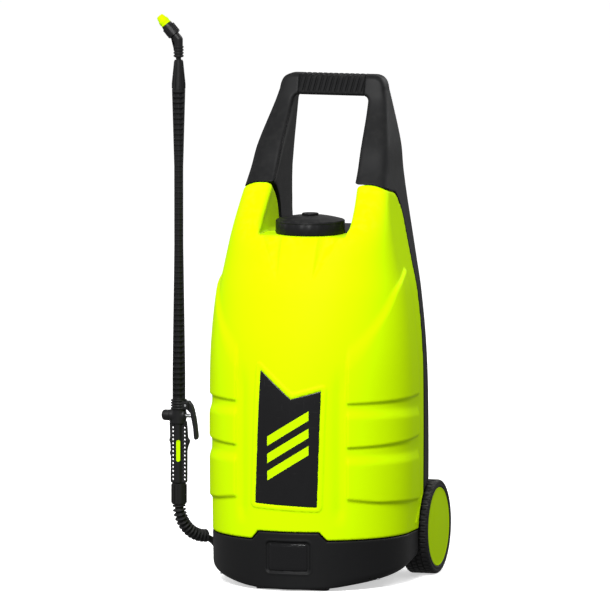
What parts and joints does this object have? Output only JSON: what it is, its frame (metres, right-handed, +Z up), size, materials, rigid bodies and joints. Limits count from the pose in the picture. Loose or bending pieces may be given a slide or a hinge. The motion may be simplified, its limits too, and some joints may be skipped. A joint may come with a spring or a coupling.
{
  "type": "wheeled sprayer cart",
  "caption": "Upright battery sprayer cart with a tank, an integral carrying handle, a screw filler cap, rear wheels and a hand gun with lance on a hose.",
  "frame": {"origin": "centre of the front foot's underside, on the floor", "axes": "+Z up, -Y towards the front with the plate, +X to the right seen from the front"},
  "size_m": [0.4065, 0.4585, 0.846],
  "materials": {
    "lime_shell": "satin",
    "lime_trim": "satin",
    "charcoal_shell": "satin",
    "black_plastic": "matte",
    "plate_black": "satin",
    "badge_black": "gloss",
    "cap_plastic": "satin",
    "grip_rubber": "matte",
    "foot_rubber": "matte",
    "seal_rubber": "matte",
    "tyre_rubber": "matte",
    "zinc_steel": "brushed",
    "strainer_plastic": "matte",
    "battery_wrap": "satin",
    "strap_web": "woven",
    "motor_can": "satin",
    "switch_red": "gloss",
    "board_green": "satin",
    "clear_tube": "satin",
    "hose_rubber": "satin",
    "sleeve_rubber": "matte",
    "gun_plastic": "satin",
    "lance_plastic": "satin"
  },
  "bodies": {
    "cart": {"tank": "lime_shell", "tank_outlet": "black_plastic", "front_plate": "plate_black", "base_housing": "charcoal_shell", "bottom_cover": "black_plastic", "bottom_screws": "zinc_steel", "front_foot": "foot_rubber", "badge_plate": "badge_black", "back_frame": "charcoal_shell", "frame_screws": "zinc_steel", "grip_sleeve": "grip_rubber", "neck_ring": "black_plastic", "axle": "zinc_steel", "axle_washers": "black_plastic", "axle_clips": "zinc_steel", "battery_pack": "battery_wrap", "battery_strap": "strap_web", "pump_motor": "motor_can", "pump_head": "black_plastic", "pump_screws": "zinc_steel", "pressure_switch": "switch_red", "control_board": "board_green", "switch_bezel": "black_plastic", "charge_socket": "black_plastic", "flap_pin": "zinc_steel", "suction_hose": "clear_tube", "pressure_hose": "hose_rubber", "hose_gland": "black_plastic", "hose": "hose_rubber", "hose_coil": "hose_rubber", "hose_lead": "hose_rubber", "hose_sleeve": "sleeve_rubber", "gun_body": "gun_plastic", "gun_insert": "lime_trim", "gun_valve_cap": "gun_plastic", "trigger_pin": "zinc_steel", "valve_spring": "zinc_steel"},
    "wheel_left": {"tyre_left": "tyre_rubber", "rim_left": "black_plastic", "wheel_disc_left": "lime_trim"},
    "wheel_right": {"tyre_right": "tyre_rubber", "rim_right": "black_plastic", "wheel_disc_right": "lime_trim"},
    "cap_liner": {"cap_gasket": "seal_rubber"},
    "cap": {"filler_cap": "cap_plastic"},
    "vent": {"vent_valve": "black_plastic"},
    "basket": {"strainer": "strainer_plastic"},
    "squeeze_lever": {"trigger": "gun_plastic"},
    "stem": {"valve_stem": "zinc_steel"},
    "lance": {"lance_tube": "lance_plastic"},
    "clamp_nut": {"lance_nut": "gun_plastic"},
    "spray_elbow": {"elbow": "gun_plastic", "nozzle_collar": "gun_plastic", "spray_seal": "seal_rubber"},
    "spray_tip": {"nozzle_tip": "lime_trim"},
    "swivel_nut": {"hose_nut": "gun_plastic"},
    "power_rocker": {"rocker_switch": "switch_red"},
    "flap": {"socket_flap": "grip_rubber"}
  },
  "joints": [
    {"name": "wheel_left_spin", "type": "hinge", "parent": "cart", "child": "wheel_left", "pos_m": [-0.1405, 0.24, 0.071], "axis": [1, 0, 0], "continuous": true},
    {"name": "wheel_right_spin", "type": "hinge", "parent": "cart", "child": "wheel_right", "pos_m": [0.1405, 0.24, 0.071], "axis": [1, 0, 0], "continuous": true},
    {"name": "cap_lift", "type": "slide", "parent": "cart", "child": "cap_liner", "axis": [0, 0, 1], "range_m": [0, 0.25]},
    {"name": "cap_turn", "type": "hinge", "parent": "cap_liner", "child": "cap", "pos_m": [0, 0.1, 0.54], "axis": [0, 0, 1], "range_deg": [0, 360]},
    {"name": "vent_lift", "type": "slide", "parent": "cap", "child": "vent", "axis": [0, 0, 1], "range_m": [0, 0.001]},
    {"name": "strainer_lift", "type": "slide", "parent": "cart", "child": "basket", "axis": [0, 0, 1], "range_m": [0, 0.1]},
    {"name": "trigger_pull", "type": "hinge", "parent": "cart", "child": "squeeze_lever", "pos_m": [-0.1985, 0.12, 0.257], "axis": [0, 1, 0], "range_deg": [0, 8], "stiffness_Nm_per_rad": 2, "springref_deg": -5.73},
    {"name": "stem_slide", "type": "slide", "parent": "cart", "child": "stem", "axis": [-1, 0, 0], "range_m": [0, 0.0023], "deforming": ["valve_spring"]},
    {"name": "lance_turn", "type": "hinge", "parent": "cart", "child": "lance", "pos_m": [-0.211, 0.12, 0.265], "axis": [0, 0, 1], "range_deg": [-180, 180]},
    {"name": "clamp_nut_turn", "type": "hinge", "parent": "lance", "child": "clamp_nut", "pos_m": [-0.211, 0.12, 0.75], "axis": [0, 0, 1], "range_deg": [0, 360]},
    {"name": "elbow_turn", "type": "hinge", "parent": "lance", "child": "spray_elbow", "pos_m": [-0.211, 0.12, 0.78], "axis": [0, 0, 1], "range_deg": [-180, 180]},
    {"name": "tip_turn", "type": "hinge", "parent": "spray_elbow", "child": "spray_tip", "pos_m": [-0.211, 0.12, 0.8086], "axis": [-0.6561, 0, 0.7547], "range_deg": [0, 540]},
    {"name": "swivel_nut_turn", "type": "hinge", "parent": "cart", "child": "swivel_nut", "pos_m": [-0.211, 0.12, 0.12], "axis": [0, 0, 1], "range_deg": [0, 360]},
    {"name": "rocker_tilt", "type": "hinge", "parent": "cart", "child": "power_rocker", "pos_m": [0.05, 0.252, 0.24], "axis": [1, 0, 0], "range_deg": [0, 14]},
    {"name": "flap_open", "type": "hinge", "parent": "cart", "child": "flap", "pos_m": [-0.05, 0.256, 0.2545], "axis": [1, 0, 0], "range_deg": [0, 120]}
  ],
  "couplings": [
    {"joint": "strainer_lift", "follows": "cap_lift", "ratio": 0.4},
    {"joint": "stem_slide", "follows": "trigger_pull", "m_per_rad": 0.0158}
  ]
}
